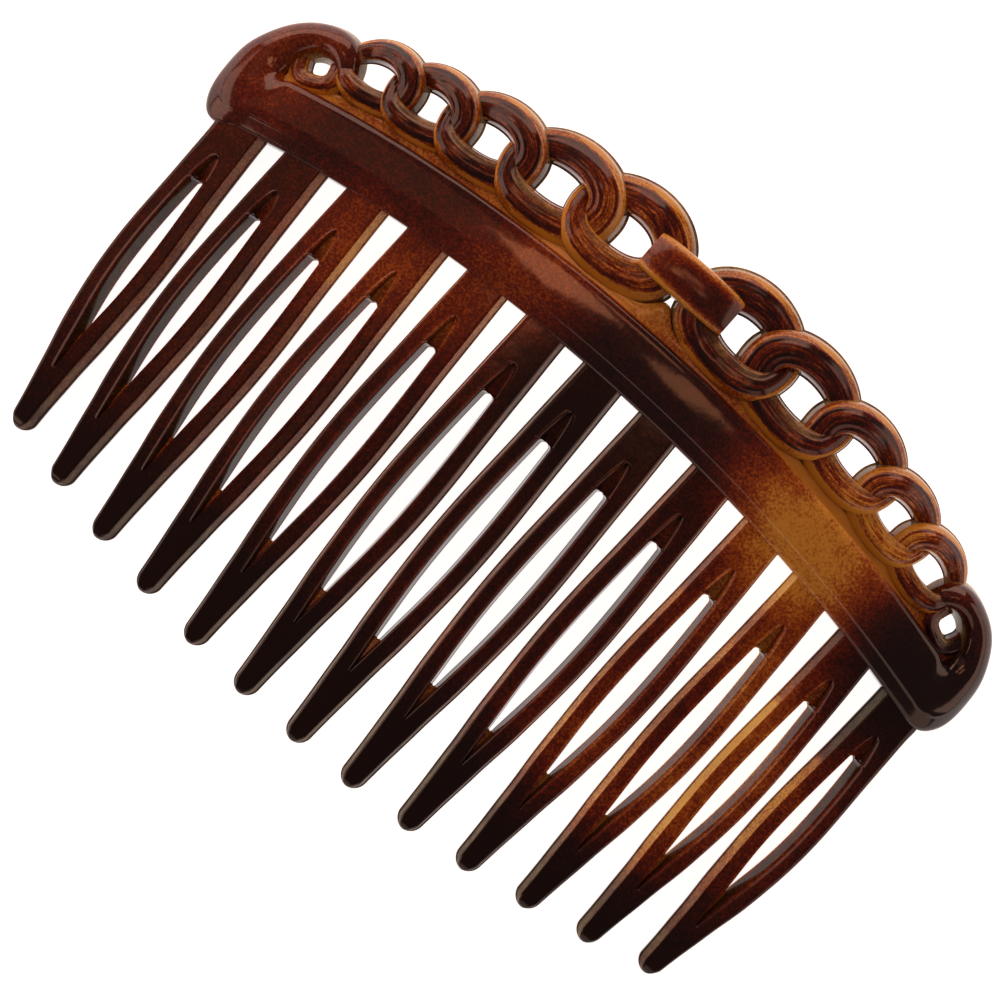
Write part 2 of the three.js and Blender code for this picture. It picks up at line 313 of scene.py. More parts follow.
def edge_curve(keys, t, bar_edge):
    """One edge of the bar and its scroll: the arch up to t = 0, then a spline through the scroll's keys. The
    arch eases over to the first key in the last part of the bar."""
    start = keys[0][1] * MM
    s_bar = start * (1 + t)
    s_scroll = spline([(key[0], key[1] * MM) for key in keys], np.maximum(t, 0))
    y_scroll = spline([(key[0], key[2] * MM) for key in keys], np.maximum(t, 0))
    y_offset = keys[0][2] * MM - (arch_y(start) + bar_edge)
    y_bar = arch_y(s_bar) + bar_edge + ease(-LEAD_IN, 0, t) * y_offset
    return np.where(t < 0, s_bar, s_scroll), np.where(t < 0, y_bar, y_scroll)


def spine_half(fuller, columns=96, bar_rows=110, scroll_rows=120):
    """Right half of the bar: the section is stretched between the inner and the outer edge at every t. It
    changes from the bar's section to the arm's as it leaves the bar, and thins towards the curl's end.
    fuller moves the outer edge of the scroll out, most where it turns up."""
    size = sizes()
    last = SCROLL_INNER[-1][0]
    t = np.concatenate([np.linspace(-1, 0, bar_rows, endpoint=False), np.linspace(0, last, scroll_rows)])
    inner_s, inner_y = edge_curve(SCROLL_INNER, t, size.bar_height)
    outer_s, outer_y = edge_curve(SCROLL_OUTER, t, 0.0)
    swell = fuller * ease(-0.1, 1.2, t) * (1 - 0.45 * ease(2.3, 4.3, t)) * ease(7.5, 5, t)
    away_s, away_y = outer_s - inner_s, outer_y - inner_y
    distance = np.hypot(away_s, away_y)
    outer_s = outer_s + swell * away_s / distance
    outer_y = outer_y + swell * away_y / distance
    blend = ease(0.2, 2.6, t)[:, None, None]
    section = smooth_loop(BAR_SECTION, columns) * (1 - blend) + smooth_loop(ARM_SECTION, columns) * blend
    across, out = section[..., 0], section[..., 1]
    s = outer_s[:, None] * (1 - across) + inner_s[:, None] * across
    y = outer_y[:, None] * (1 - across) + inner_y[:, None] * across
    h = out * (size.bar_thickness * spline(SPINE_RISE, t)[:, None])
    # Painted light: the pale rim on the drafted walls of the scroll's arm.
    arm_wall_light = ease(0.75, 0.45, out) * ease(0.02, 0.1, out) * ease(1.2, 3.0, t)[:, None]
    # Painted light through the thin plastic of the bar's side along the ledge.
    ledge_light = ease(0.93, 0.99, across) * ease(1.5, 0.5, t)[:, None] * ease(0.95, 0.5, out)
    return on_head(s, y, h), {"rim_light": arm_wall_light, "thin_light": ledge_light}


def cap(points):
    """Closes the last row of a grid with one point in its middle, repeated to keep the grid whole."""
    middle = points[-1].mean(axis=0)
    return np.concatenate([points, np.broadcast_to(middle, points[-1:].shape)])


def cap_field(values):
    """Repeats the last row of a field, for the points that cap adds."""
    return np.concatenate([values, values[-1:]])


class COMB_OT_spine(bpy.types.Operator):
    """Build the domed spine bar, whose ends curl up into scrolls."""

    bl_idname = "comb.spine"
    bl_label = "Spine bar"

    def execute(self, context):
        halves = []
        for side, fuller in ((1, RIGHT_FULLER), (-1, LEFT_FULLER)):
            points, fields = spine_half(fuller)
            points = cap(points)
            rows, columns = points.shape[:2]
            points, faces = points.reshape(-1, 3), grid_faces(rows, columns, wrap_columns=True)
            if side < 0:
                points, faces = mirror(points, faces)
            fields = {name: cap_field(field).reshape(-1) for name, field in fields.items()}
            halves.append((points, faces, fields))
        points, faces, fields = joined(halves)
        material = shell_material("bar_shell")
        make_piece("spine_surface", points, faces, fields, material, ["spine_bar"])
        return {"FINISHED"}


# ---- ledge ----


# Section of the ledge, as (share of its height from the bar's top edge, share of its thickness).
LEDGE_SECTION = [
    (-1.2, 0.1), (-1.2, 0.5), (-1.2, 1.0), (-0.3, 1.0), (0.3, 0.97), (0.7, 0.93), (0.93, 0.82), (1.0, 0.6),
    (1.03, 0.35), (0.95, 0.12), (0.5, 0.08), (-0.5, 0.08),
]
LEDGE_REACH = 49.3 * MM
WEB_RISE = 1.6                 # how much higher the ledge is at the middle, where it meets the chain
WEB_WIDTH = 1.7 * MM


def ledge_strip(columns=28, rows=200):
    """Thin strip along the top of the bar: a rounded section carried along the arch, made higher at the
    middle by a bell curve, with one point at each end that closes it."""
    size = sizes()
    s = np.linspace(-LEDGE_REACH, LEDGE_REACH, rows)[:, None]
    section = smooth_loop(LEDGE_SECTION, columns)
    across, out = section[:, 0], section[:, 1]
    web = 1 + WEB_RISE * np.exp(-((s / WEB_WIDTH) ** 2)) * ease(0.0, 0.8, across)
    y = arch_y(s) + size.bar_height + across * size.ledge_height * web
    h = out * size.ledge_thickness * np.ones_like(s)
    s = s * np.ones_like(h)
    end = on_head(s[0].mean(), y[0].mean(), h[0].mean())
    ring = np.ones((1, columns, 1))
    return np.concatenate([end * ring, on_head(s, y, h), end * np.array([-1, 1, 1]) * ring])


class COMB_OT_ledge(bpy.types.Operator):
    """Build the thin golden ledge between the bar and the chain."""

    bl_idname = "comb.ledge"
    bl_label = "Ledge"

    def execute(self, context):
        points = ledge_strip()
        rows, columns = points.shape[:2]
        faces = grid_faces(rows, columns, wrap_columns=True)
        points = points.reshape(-1, 3)
        # Painted light: the whole thin ledge is painted golden, as if light came through it.
        fields = {"thin_light": np.ones(len(points))}
        make_piece("chain_ledge", points, faces, fields, shell_material("bar_shell"))
        return {"FINISHED"}


# ---- teeth ----

# Half width of a tooth in millimetres at shares of its length.
TOOTH_FLANK = [
    (-0.04, 2.8), (0.0, 2.8), (0.093, 2.95), (0.223, 3.16), (0.37, 3.45), (0.52, 3.4), (0.63, 3.06),
    (0.71, 2.75), (0.78, 2.36), (0.84, 2.1), (0.89, 1.86), (0.95, 1.62), (1.0, 1.45),
]
# Half width of a tooth's eye in millimetres at shares of the eye's length.
EYE_FLANK = [(0, 0.5), (0.12, 0.68), (0.35, 0.93), (0.6, 0.95), (0.8, 0.66), (0.93, 0.33), (1, 0.16)]
# Shares of a tooth's length where its recess starts, its eye opens and closes, and its recess ends. The eye
# closes EYE_SHORTER before its share.
APEX, EYE_TOP, EYE_FOOT, POINT = 0.097, 0.178, 0.83, 0.81
EYE_SHORTER = 5.7 * MM
TIP_RADIUS = 1.5 * MM
TIP_THINNER = 0.35 * MM        # how much thinner a tooth is at its tip
ROOT_DEPTH = 1.2 * MM          # how far a tooth runs up into the bar
TOOTH_BACK = 0.15 * MM         # height of a tooth's back above the comb's
FACE_SHARE = 0.93              # height of its face, as a share of its thickness
WALL_DRAFT = 0.45 * MM         # how far a flank leans in
EYE_DRAFT = 0.35 * MM          # how far the recess reaches past the eye
BEVEL_WIDTH = 0.22 * MM        # bevel between the face and a flank
BEVEL_DEPTH = 0.16 * MM
LIP_WIDTH = 0.14 * MM          # small lip round the recess
LIP_HEIGHT = 0.09 * MM
LIP_DEPTH = 0.12 * MM
PINCH_WIDTH = 1.3 * MM         # bevels and lips shrink where a tooth is narrower than this
TIP_SLOPE = 0.009              # how much the line of tips climbs from left to right
TOOTH_BOW = 1.9                # power of the curve that carries a tooth over to its tip
TOOTH_LEAN = 0.55 * MM         # how far each tip stands to the right
ROOT_FLARE = 0.5               # outermost flank: how far it stands out at the root, in millimetres,
SIDE_FLARE = 0.4               # and along the upper half of the tooth
FLARE_FADE = 4 * MM            # length over which the root's flare fades

# Columns of a tooth's section, as (first, one past the last).
EYE_WALL, FLOOR, RECESS_WALL, LIP, FLANK = (0, 3), (3, 8), (7, 12), (12, 16), (27, 33)
FACE_EDGE = (19, 26)           # over these the painted shade comes in
CHANNEL_SHADE_REACH = (11.0 * MM, 8.6 * MM)    # places along a tooth where the painted shade starts and is full


def tooth_rows(marks, tooth_length):
    """Places along a tooth, closer together round the marks where its shape changes quickly."""
    spread = [np.linspace(-ROOT_DEPTH, tooth_length - TIP_RADIUS, 110)]
    for mark in marks:
        spread.append(mark + np.linspace(-0.6, 0.9, 13) * MM)
    tip = tooth_length - TIP_RADIUS * (1 - np.sin(np.linspace(0, math.pi / 2, 14)))
    rows = np.unique(np.concatenate(spread + [tip]))
    apart = np.concatenate([[True], np.diff(rows) > 0.02 * MM])
    return rows[apart]


def strip(start, end, count):
    """Points from start to end, the end left out, as a (rows, count) array for each of two coordinates."""
    share = np.arange(count) / count
    return tuple(a[:, None] * (1 - share) + b[:, None] * share for a, b in zip(start, end))


def eye_width(d, top, foot):
    """Half width of the eye at places d: EYE_FLANK's, its upper end rounded by a quarter of a circle, and 0
    where the eye is closed."""
    width = spline(EYE_FLANK, np.clip((d - top) / (foot - top), 0, 1)) * MM
    into_top = np.clip((d - top) / (0.4 * MM), 0, 1)
    rounding = np.sqrt(np.clip(1 - (1 - into_top) ** 2, 0, 1))
    return np.where((d >= top) & (d < foot - 1e-9), width * rounding, 0)


def tooth_half(tooth_length):
    """Right half of a tooth's section at every place d along it, as half widths v and heights h.

    The section runs up the wall of the eye, over the floor of the pointed recess, up its wall, over a lip
    and the front face, down the drafted flank and back across the tooth's back. Also says where the eye is
    closed, and how strongly the recess and its sloping heel show."""
    size = sizes()
    apex, top, point = APEX * tooth_length, EYE_TOP * tooth_length, POINT * tooth_length
    foot = EYE_FOOT * tooth_length - EYE_SHORTER
    d = tooth_rows((apex, top, foot, point), tooth_length)
    share = d / tooth_length
    into_tip = np.clip((d - (tooth_length - TIP_RADIUS)) / TIP_RADIUS, 0, 1)
    round_tip = np.sqrt(1 - into_tip**2)
    width = spline(TOOTH_FLANK, np.clip(share, TOOTH_FLANK[0][0], 1)) * MM * round_tip
    pinch = np.clip(width / PINCH_WIDTH, 0, 1)

    thick = (size.tooth_thickness - TIP_THINNER * ease(0.6, 1, share)) * round_tip
    low = TOOTH_BACK + size.tooth_thickness * 0.4 * (1 - round_tip)
    face = low + thick * FACE_SHARE
    opening = (d >= top) & (d <= foot)
    recessed = np.where((d > apex) & (d < point), 1, 0)
    above = np.clip((d - apex) / (top - apex), 0, 1)
    below = np.clip((point - d) / (point - foot), 0, 1)
    floor_above = face - (0.2 * MM + 1.25 * MM * above)
    floor_below = face - (0.1 * MM + 1.5 * MM * below)
    floor = np.where(d < top, floor_above, np.where(d > foot, floor_below, low + 0.3 * MM))
    floor = np.where(recessed, floor, face)

    eye = eye_width(d, top, foot)
    top_half, foot_half = EYE_FLANK[0][1] * MM, EYE_FLANK[-1][1] * MM
    edge_above = (top_half + EYE_DRAFT) * above**0.55
    edge_below = (foot_half + EYE_DRAFT) * below**0.9
    edge_beside = np.maximum(eye, foot_half) + EYE_DRAFT
    edge = np.where(d < top, edge_above, np.where(d > foot, edge_below, edge_beside)) * recessed
    wall_foot = np.where(opening, eye + 0.03 * MM, np.maximum(edge - 0.22 * MM, 0))
    brow = width - WALL_DRAFT * pinch
    shoulder = width - (WALL_DRAFT + BEVEL_WIDTH) * pinch
    lip = np.minimum(edge + LIP_WIDTH * recessed, shoulder)
    lip_top = face + LIP_HEIGHT * recessed

    # Corners round the section, each with the number of columns from it to the next.
    corners = [
        ((eye, low), 3),
        ((eye, floor), 4),
        ((wall_foot, floor), 5),
        ((edge, lip_top - LIP_DEPTH * recessed), 2),
        ((lip, lip_top), 2),
        ((np.minimum(lip + 0.25 * MM, shoulder), face), 8),
        ((shoulder, face), 3),
        ((brow, face - BEVEL_DEPTH * pinch), 5),
        ((width - 0.13 * MM * pinch, low + 0.42 * MM * pinch), 2),
        ((width, low + 0.4 * MM * pinch), 2),
        ((width, low + 0.1 * MM * pinch), 2),
        ((width - 0.45 * MM * pinch, low), 6),
    ]
    following = corners[1:] + corners[:1]
    strips = [strip(start, end, count) for (start, count), (end, _) in zip(corners, following)]
    v, h = (np.concatenate(parts, axis=1) for parts in zip(*strips))
    cut = (ease(apex, apex + 1 * MM, d) * ease(point, point - 2 * MM, d))[:, None]
    heel = (ease(foot - 2.5 * MM, foot, d) * ease(point, foot + 1 * MM, d))[:, None]
    return d, v, h, eye <= 0, cut, heel


def tooth_fields(side, place, d, columns, cut, heel):
    """Fields of one half of a tooth. rim is painted light on its drafted flank and the wall of its recess.
    gold is painted light through the thin plastic of its sawn walls, the recess's floor, most of all the
    heel, and the lip.
    glow is painted light given off by its sawn walls, most of all those that face left. The left flanks of
    the teeth far out on the right have a painted shade near their roots, in place of the shadow of a small
    recess that is not modelled."""
    column = np.arange(columns)
    eye_wall, floor, recess_wall, lip, flank = (
        ((column >= first) & (column < past)).astype(float)
        for first, past in (EYE_WALL, FLOOR, RECESS_WALL, LIP, FLANK)
    )
    sawn = np.maximum(flank, eye_wall)
    faces_left = (flank > 0) == (side < 0)
    glow = np.where(faces_left, sawn, 0.3 * sawn) * np.ones_like(cut)
    # Painted light through the thin sawn walls.
    clear = 0.8 * sawn
    # Painted shade: darker left flanks near the roots of the outer right teeth, in place of a small recess's
    # shadow.
    if side < 0 and place > 2:
        depth = 0.9 if place > 4 else 0.25
        channel_shade = depth * ease(*FACE_EDGE, column) * ease(*CHANNEL_SHADE_REACH, d[:, None])
        clear = 0.8 * (sawn - 2.4 * channel_shade)
        glow = glow * (1 - 0.7 * channel_shade)
    # Painted light through the thin plastic: the sawn walls, the recess's floor, most of all the heel, and
    # the lip.
    thin_light = np.maximum(clear, np.maximum(floor * (0.7 + 1.1 * heel), lip * 0.35) * cut)
    return {"rim_light": np.maximum(flank, recess_wall * 0.8 * cut), "thin_light": thin_light, "glow": glow}


def tooth_mesh(place):
    """Both halves of tooth number place, counted from the middle. The wall between the halves is left out
    where the eye is closed. The outermost teeth spread towards the bar's end."""
    size = sizes()
    root_s = place * size.root_reach / 6
    tip_s = root_s * size.tooth_fan
    tip_y = tip_s**2 / (2 * size.tip_arc_radius) + TIP_SLOPE * tip_s - size.tooth_reach
    tooth_length = arch_y(root_s) - tip_y
    d, v, h, closed, cut, heel = tooth_half(tooth_length)
    rows, columns = v.shape
    share = (d / tooth_length)[:, None]
    faces = grid_faces(rows, columns, wrap_columns=True)
    row, column = np.divmod(faces[:, 0], columns)
    inner_wall = (column < EYE_WALL[1]) & closed[row] & closed[np.minimum(row + 1, rows - 1)]
    faces = faces[~inner_wall]
    halves = []
    for side in (1, -1):
        reach = v
        if side * place >= 6:
            flare = ROOT_FLARE * np.exp(-np.maximum(d, 0) / FLARE_FADE)
            flare = (flare + SIDE_FLARE * ease(1.0, 0.55, d / tooth_length)) * MM
            reach = v + flare[:, None] * (v / np.maximum(v.max(axis=1, keepdims=True), 1e-9)) ** 2
        middle = root_s + (tip_s - root_s) * np.maximum(share, 0) ** TOOTH_BOW + TOOTH_LEAN * share
        y = arch_y(root_s + side * reach) * (1 - share) + tip_y * share
        points = on_head(middle + side * reach, y, h).reshape(-1, 3)
        fields = {**tooth_fields(side, place, d, columns, cut, heel), "edge": share}
        halves.append((points, faces[:, ::-side], spread_out(fields, h)))
    return joined(halves)


class COMB_OT_teeth(bpy.types.Operator):
    """Build the thirteen needle-eye teeth."""

    bl_idname = "comb.teeth"
    bl_label = "Teeth"

    def execute(self, context):
        material = shell_material("tooth_shell")
        for number in range(1, 14):
            points, faces, fields = tooth_mesh(number - 7)
            node = f"tooth_{number:02d}"
            make_piece(f"{node}_surface", points, faces, fields, material, [node])
        return {"FINISHED"}


# ---- chain ----

# Links of the right half, largest first, in millimetres: middle along and across the sheet, half length and
# half height, tilt in radians, and how much higher the link sits on the right side and on the left.
LINKS = [
    (8.05, 13.65, 8.05, 6.55, -0.075, 0.15, 0.1),
    (17.05, 13.25, 8.0, 6.3, -0.115, -0.1, -0.35),
    (26.2, 11.9, 6.95, 5.55, -0.155, 0.25, -0.2),
    (33.9, 10.25, 6.15, 5.05, -0.19, 0.0, 0.05),
    (40.5, 8.6, 5.5, 4.55, -0.22, -0.1, 0.55),
]
# Section of a link from its inner edge to its outer one: (share of the band's width, share of the height).
LINK_SECTION = [
    (0.02, 0.05), (0.0, 0.08), (0.0, 0.14), (0.03, 0.17), (0.04, 0.3), (0.055, 0.5), (0.075, 0.68),
    (0.11, 0.8), (0.17, 0.88), (0.24, 0.905), (0.3, 0.93), (0.37, 0.98), (0.46, 1.0), (0.56, 0.985),
    (0.66, 0.935), (0.74, 0.86), (0.8, 0.77), (0.85, 0.7), (0.89, 0.62), (0.915, 0.5), (0.94, 0.34),
    (0.96, 0.18), (0.97, 0.15), (1.0, 0.13), (1.0, 0.08), (0.97, 0.04), (0.85, 0.0), (0.5, -0.02),
    (0.15, 0.0),
]
# Widths of a link's band at its top, inner end, bottom and outer end, as shares of its half height.
LINK_BAND = (0.73, 0.8, 0.7, 0.5)
LINK_BACK = 0.3 * MM           # height of a link's back
LINK_CURL = 0.35 * MM          # how much higher a link stands at its outer end than at its middle
LINK_DIP = 0.5 * MM            # how far the largest links dip under the middle one
RIPPLE = 0.014                 # height of the faint ridges that run round a link, as a share of its own

# The arc inside each scroll, as the start of a row of LINKS, with its band and how squared its opening is.
SCROLL_LINK = (47.0, 5.45, 4.1, 3.7, -0.4)
SCROLL_BAND = (0.72, 0.84, 0.7, 0.8)
SCROLL_SQUARED = 0.5
LEFT_EYE_LIFT = 0.4 * MM       # how much higher the eye of the left scroll sits

# Section of one side of the middle link: (share of its half height, share of its thickness).
MIDDLE_SIDE = [
    (0.8, 0.0), (1.0, 0.12), (1.0, 0.4), (0.97, 0.62), (0.92, 0.75), (0.82, 0.84), (0.6, 0.92), (0.3, 0.98)
]
OTHER_SIDE = [(-across, out) for across, out in reversed(MIDDLE_SIDE)]
MIDDLE_SECTION = [*MIDDLE_SIDE, (0.0, 1.0), *OTHER_SIDE, (0.0, -0.04)]
MIDDLE_BACK = 1.2 * MM         # heights of the middle link's back and of its crown
MIDDLE_CROWN = 4.6 * MM
MIDDLE_DROP = 1.5 * MM         # how much lower the crown is at both ends
MIDDLE_UPPER = 1.4             # how much further it reaches up than down


def oval(half_length, half_height, turn, squared=0.2):
    """An oval whose lower half is squared: its coordinates follow cosine and sine to a lower power there."""
    cosine, sine = np.cos(turn), np.sin(turn)
    power = 1 - squared * ease(0, 0.5, -sine)
    along = half_length * np.sign(cosine) * np.abs(cosine) ** power
    up = half_height * np.sign(sine) * np.abs(sine) ** power
    return along, up


def link_mesh(link, rise, band=LINK_BAND, squared=0.1, rows=168, columns=84):
    """A link: LINK_SECTION stretched between its outer oval and its smaller, offset inner one, and carried
    round. link is the start of a row of LINKS, rise(turn) is the height of the link's top in metres, and a
    sine across the band adds faint ridges."""
    middle_s, middle_y, half_length, half_height = (size * MM for size in link[:4])
    tilt = link[4]
    turn = np.linspace(0, 2 * math.pi, rows, endpoint=False)[:, None]
    section = smooth_loop(LINK_SECTION, columns)
    across, out = section[:, 0], section[:, 1]
    top, inner_end, bottom, outer_end = (share * half_height for share in band)
    outer_along, outer_up = oval(half_length, half_height, turn)
    inner_length = half_length - (inner_end + outer_end) / 2
    inner_height = half_height - (top + bottom) / 2
    inner_along, inner_up = oval(inner_length, inner_height, turn, squared)
    inner_along = inner_along + (inner_end - outer_end) / 2
    inner_up = inner_up + (bottom - top) / 2
    along = inner_along * (1 - across) + outer_along * across
    up = inner_up * (1 - across) + outer_up * across
    s = middle_s + along * math.cos(tilt) - up * math.sin(tilt)
    y = middle_y + along * math.sin(tilt) + up * math.cos(tilt)
    ridges = RIPPLE * np.sin(across * 26 + 0.6 * np.sin(2 * turn))
    ridges = ridges * ease(0.15, 0.3, across) * ease(0.8, 0.65, across) * (out > 0.5)
    h = LINK_BACK + (out + ridges) * (rise(turn) - LINK_BACK)
    # Painted light: the pale outer wall, and the inner wall of the lower arm, which faces the light.
    outer_rim_light = ease(0.66, 0.5, out) * ease(0.03, 0.12, out) * ease(0.5, 0.7, across)
    inner_rim_light = ease(0.98, 0.87, out) * ease(0.5, 0.3, across) * ease(0.1, 0.7, -np.sin(turn))
    # Painted light through the thinner plastic on the band's slopes.
    slope_light = ease(0.5, 0.62, out) * ease(0.93, 0.74, out) * (0.55 + 0.45 * ease(0.4, 0.6, across))
    fields = {
        "rim_light": np.maximum(outer_rim_light, 0.7 * inner_rim_light),
        "thin_light": slope_light,
        "across": across,
        "along": 1 - np.cos(turn),
    }
    faces = grid_faces(rows, columns, True, True)[:, ::-1]
    return on_head(s, y, h).reshape(-1, 3), faces, spread_out(fields, h)


def chain_rise(index):
    """Height of a right-hand link's top: high where it passes over its inner neighbour above, low where it
    goes under it below, and the other way round at its outer end. The largest dips under the middle link."""
    size = sizes()
    middle = size.link_middle_height

    def rise(turn):
        twist = -np.sin(2 * turn) * size.link_twist
        curl = -np.cos(turn) * LINK_CURL
        inner = ease(0.1, 0.85, -np.cos(turn)) if index == 0 else 0
        return middle + (twist + curl) * (1 - inner) - inner * LINK_DIP

    return rise


def scroll_rise(turn):
    """Height of the arc inside a scroll: higher towards the chain, and lower along its top, where it is
    under the last link."""
    return 2.4 * MM - 0.3 * MM * np.cos(turn) - 0.9 * MM * ease(0.0, 0.8, np.sin(turn))


class COMB_OT_links(bpy.types.Operator):
    """Build the graded links of the chain on both sides."""

    bl_idname = "comb.links"
    bl_label = "Chain links"

    def execute(self, context):
        material = shell_material("chain_shell")
        for index, (s, y, *shape, right_lift, left_lift) in enumerate(LINKS):
            for side, lift in (("right", right_lift), ("left", left_lift)):
                points, faces, fields = link_mesh((s, y + lift, *shape), chain_rise(index))
                if side == "left":
                    points, faces = mirror(points, faces)
                node = f"link_{side}_{index + 1}"
                make_piece(f"{node}_surface", points, faces, fields, material, [node])
        return {"FINISHED"}


class COMB_OT_scroll_links(bpy.types.Operator):
    """Build the small lower arc inside each scroll, which the last link passes over."""

    bl_idname = "comb.scroll_links"
    bl_label = "Scroll links"

    def execute(self, context):
        material = shell_material("chain_shell")
        points, faces, fields = link_mesh(SCROLL_LINK, scroll_rise, SCROLL_BAND, SCROLL_SQUARED, 120, 60)
        make_piece("scroll_arc_right", points, faces, fields, material)
        points, faces = mirror(points + [0, LEFT_EYE_LIFT, 0], faces)
        make_piece("scroll_arc_left", points, faces, fields, material)
        return {"FINISHED"}


def middle_link(rows=60, columns=72):
    """The middle link, seen edge-on: MIDDLE_SECTION carried from end to end, a little narrower and lower
    towards both ends, where a row of equal points closes it. It fills its CAD node's length and height."""
    low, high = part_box("link_middle")
    half_length, half_height = (high.x - low.x) / 2, (high.y - low.y) / 2
    middle_s = (high.x + low.x) / 2
    middle_y = (high.y + low.y) / 2 - bar_origin().y
    t = np.concatenate([[-1], np.sin(np.linspace(-math.pi / 2, math.pi / 2, rows - 2)), [1]])[:, None]
    section = smooth_loop(MIDDLE_SECTION, columns)
    across, out = section[:, 0], section[:, 1]
    up = np.where(across > 0, across * MIDDLE_UPPER, across)
    end = np.zeros_like(t)
    end[0] = end[-1] = 1
    crown = MIDDLE_CROWN - MIDDLE_DROP * np.abs(t) ** 3
    h = MIDDLE_BACK + (crown - MIDDLE_BACK) * (out * (1 - end) + 0.5 * end)
    s = middle_s + t * half_length + 0 * h
    y = middle_y + up * half_height * (1 - 0.1 * t**4) * (1 - end)
    # Painted light: the pale walls, and light through the thinner plastic of the band's slopes.
    fields = {"rim_light": ease(0.72, 0.5, out), "thin_light": ease(0.5, 0.7, out) * ease(0.97, 0.8, out)}
    faces = grid_faces(rows, columns, wrap_columns=True)[:, ::-1]
    return on_head(s, y, h).reshape(-1, 3), faces, spread_out(fields, h)


class COMB_OT_middle_link(bpy.types.Operator):
    """Build the middle link, seen edge-on in front of the two largest."""

    bl_idname = "comb.middle_link"
    bl_label = "Middle link"

    def execute(self, context):
        points, faces, fields = middle_link()
        material = shell_material("chain_shell")
        make_piece("link_middle_surface", points, faces, fields, material, ["link_middle"])
        return {"FINISHED"}


# ---- materials ----


def new_group(name, inputs, outputs):
    """An empty shader group with named sockets, and its input and output nodes."""
    group = bpy.data.node_groups.new(name, "ShaderNodeTree")
    for socket, kind, default in inputs:
        made = group.interface.new_socket(socket, in_out="INPUT", socket_type=kind)
        made.default_value = default
    for socket, kind in outputs:
        group.interface.new_socket(socket, in_out="OUTPUT", socket_type=kind)
    return group, group.nodes.new("NodeGroupInput"), group.nodes.new("NodeGroupOutput")


def plug(node, values):
    """Fills a node's inputs, by name or number. A socket is linked, and anything else is set as a value."""
    for socket, value in values.items():
        if isinstance(value, bpy.types.NodeSocket):
            node.id_data.links.new(value, node.inputs[socket])
        else:
            node.inputs[socket].default_value = value
    return node


def noise(tree, vector, scale, detail, roughness=0.5, output="Fac"):
    """Noise over vector."""
    node = tree.nodes.new("ShaderNodeTexNoise")
    plug(node, {"Vector": vector, "Scale": scale, "Detail": detail, "Roughness": roughness})
    return node.outputs[output]


def remap(tree, value, low, high, to_low=0.0, to_high=1.0):
    """value eased from low..high to to_low..to_high, and held beyond them."""
    node = tree.nodes.new("ShaderNodeMapRange")
    node.interpolation_type = "SMOOTHSTEP"
    plug(node, {"Value": value, "From Min": low, "From Max": high, "To Min": to_low, "To Max": to_high})
    return node.outputs["Result"]


def maths(tree, operation, first, second):
    """One step of arithmetic on two sockets or numbers."""
    node = tree.nodes.new("ShaderNodeMath")
    node.operation = operation
    return plug(node, {0: first, 1: second}).outputs[0]


def mix(tree, share, first, second):
    """first turned into second by share, both of them colours."""
    node = tree.nodes.new("ShaderNodeMix")
    node.data_type = "RGBA"
    return plug(node, {"Factor": share, 6: first, 7: second}).outputs[2]


# Clouds in the plastic: centre and half sizes along the comb and across it, in millimetres from the crown of
# the arch, and how much clearer (or denser, below 0) than the rest it is there.
CLOUDS = [
    ((29, 1.5), (11, 7.5), 0.6),
    ((20, 3.5), (9, 6), 0.1),
    ((-50, 1), (8, 7), 0.24),
    ((-14, 3), (9, 5), 0.3),
    ((5, 2), (11, 6), -0.12),
    ((47, -3), (10, 8), -0.35),
    ((-20, -6), (13, 7), 0.3),
    ((-33, -8), (6, 8), 0.2),
    ((-27, -14), (5, 12), 0.12),
    ((-2, -6), (10, 6), -0.2),
    ((2, -14), (14, 16), -0.1),
    ((32, -9), (9, 12), 0.3),
    ((24, -16), (5, 18), 0.18),
    ((38, -22), (6, 14), 0.42),
    ((46, -24), (5, 12), 0.24),
    ((28, -33), (12, 9), 0.3),
    ((-9, 12), (10, 7), 0.35),
    ((31, 9), (8, 5), 0.3),
    ((39, 8), (6, 5), 0.28),
    ((-49, 9), (7, 6), 0.2),
    ((0, -48), (60, 10), -0.35),
]
LEVEL = 0.23                   # how clear the shell is away from its clouds
CLOUD_REACH = (1.5, 0.15)      # where a cloud starts and where it is full, in its half sizes
WANDER = 0.006                 # how far the clouds' edges wander, in metres
MOTTLE = 0.06                  # how strong the mottling and the fine speckle are
SPECKLE = 0.13


